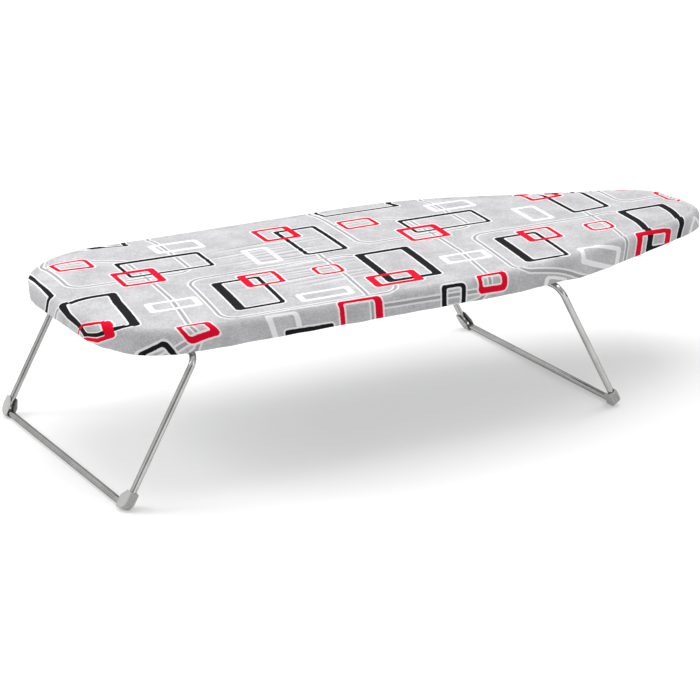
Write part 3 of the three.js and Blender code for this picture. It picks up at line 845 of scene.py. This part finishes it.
def build_leg_wire(end, outward):
    pivot = Vector(joints[f"{end}_leg_fold"]["pos_m"]) / MM
    foot = Vector((outward * LEG_SPREAD, 0, BAR_Z - pivot.z))
    up = Vector((0, 0, STOP_ARM_LENGTH))
    corners = []
    for side in (1, -1):
        part = [
            (pivot + Vector((0, side * STOP_ARM_Y, 0)) + up, 0),
            (pivot + Vector((0, side * STOP_ARM_Y, 0)), STOP_ARM_BEND),
            (pivot + Vector((0, side * LEG_HALF_WIDTH, 0)), TOP_BEND),
            (pivot + Vector((0, side * LEG_HALF_WIDTH, 0)) + foot, FOOT_BEND),
        ]
        corners += part if side > 0 else part[::-1]
    points, faces = tube(bent_line(corners), WIRE_RADIUS)
    wire = mesh_piece(
        f"{end}_wire", [p * MM for p in points], faces, f"{end}_leg", WIRE,
    )
    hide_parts(f"{end}_leg_wire")


def build_shoe(node, body):
    shoe = new_object(node + "_moulded", nodes[node].data.copy())
    shoe.data.materials.clear()
    shoe.data.materials.append(PLASTIC)
    remesh = shoe.modifiers.new("remesh", "REMESH")
    remesh.mode = "VOXEL"
    remesh.voxel_size = 0.32 * MM
    remesh.use_smooth_shade = True
    soften = shoe.modifiers.new("soften", "SMOOTH")
    soften.factor = 0.5
    soften.iterations = 4
    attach(shoe, body)
    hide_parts(node)


for end, outward in (("heel", -1), ("nose", 1)):
    build_leg_wire(end, outward)
    for hand in ("left", "right"):
        build_shoe(f"{end}_shoe_{hand}", f"{end}_leg")


# ---- stage ----

FLOOR_REACH = 8.0
LIGHTS = (
    ("overhead", (0.25, 0.7, 3.2), 3.0, 85),
    ("key", (-2.3, 1.3, 1.9), 1.2, 42),
    ("fill", (0.9, -2.5, 0.9), 1.6, 11),
)
CAMERA_PLACE = (-1.2050, -2.0013, 0.8771)
CAMERA_AZIMUTH, CAMERA_ELEVATION, CAMERA_ROLL = -30.20, 19.487, 0.241


def build_floor():
    sh = Shader("pale_floor")
    sh.finish(
        Base_Color=(0.55, 0.55, 0.55, 1), Roughness=0.9, Specular_IOR_Level=0.1,
        Emission_Color=(1, 1, 1, 1), Emission_Strength=0.32,
    )
    mesh = bpy.data.meshes.new("floor")
    corners = [(x * FLOOR_REACH, y * FLOOR_REACH, 0) for x, y in ((-1, -1), (1, -1), (1, 1), (-1, 1))]
    mesh.from_pydata(corners, [], [(0, 1, 2, 3)])
    mesh.materials.append(sh.material)
    new_object("floor", mesh)


def build_world():
    """The studio is bright down to the horizon behind the board and at its heel, and dim in front of it."""
    world = bpy.data.worlds.new("studio")
    world.use_nodes = True
    tree = world.node_tree

    def graded(value, low, high, to_low, to_high):
        node = tree.nodes.new("ShaderNodeMapRange")
        for name, number in zip(("From Min", "From Max", "To Min", "To Max"), (low, high, to_low, to_high)):
            node.inputs[name].default_value = number
        tree.links.new(value, node.inputs["Value"])
        return node.outputs["Result"]

    direction = tree.nodes.new("ShaderNodeTexCoord").outputs["Generated"]
    split = tree.nodes.new("ShaderNodeSeparateXYZ")
    tree.links.new(direction, split.inputs[0])
    toward_front = tree.nodes.new("ShaderNodeVectorMath")
    toward_front.operation = "DOT_PRODUCT"
    toward_front.inputs[1].default_value = (0.26, -0.966, 0)
    tree.links.new(direction, toward_front.inputs[0])
    strength = tree.nodes.new("ShaderNodeMix")
    tree.links.new(graded(toward_front.outputs["Value"], 0.0, 0.5, 0.0, 1.0), strength.inputs["Factor"])
    tree.links.new(graded(split.outputs["Z"], 0.03, 0.16, 0.22, 0.85), strength.inputs[2])
    tree.links.new(graded(split.outputs["Z"], 0.0, 0.7, 0.16, 0.75), strength.inputs[3])
    background = tree.nodes["Background"]
    tree.links.new(strength.outputs[0], background.inputs["Strength"])
    background.inputs["Color"].default_value = (1, 1, 1, 1)
    bpy.context.scene.world = world


def build_lights():
    for name, place, size, power in LIGHTS:
        light = bpy.data.lights.new(name, "AREA")
        light.size = size
        light.energy = power
        lamp = bpy.data.objects.new(name, light)
        lamp.location = place
        aim = Vector((0, 0, 0.1)) - Vector(place)
        lamp.rotation_mode = "QUATERNION"
        lamp.rotation_quaternion = aim.to_track_quat("-Z", "Y")
        bpy.context.scene.collection.objects.link(lamp)


def build_camera():
    azimuth, elevation, roll = (
        math.radians(a) for a in (CAMERA_AZIMUTH, CAMERA_ELEVATION, CAMERA_ROLL)
    )
    level = math.cos(elevation)
    back = Vector((math.sin(azimuth) * level, -math.cos(azimuth) * level, math.sin(elevation)))
    right = Vector((math.cos(azimuth), math.sin(azimuth), 0))
    up = back.cross(right)
    tilted_right = right * math.cos(roll) + up * math.sin(roll)
    tilted_up = up * math.cos(roll) - right * math.sin(roll)
    turn = Matrix((tilted_right, tilted_up, back)).transposed().to_4x4()
    data = bpy.data.cameras.new("camera")
    data.sensor_width = 36
    data.lens = 123.86
    data.clip_end = 50
    camera = bpy.data.objects.new("camera", data)
    camera.matrix_world = Matrix.Translation(CAMERA_PLACE) @ turn
    bpy.context.scene.collection.objects.link(camera)
    bpy.context.scene.camera = camera
    bpy.context.scene.view_settings.view_transform = "Standard"


build_floor()
build_world()
build_lights()
build_camera()
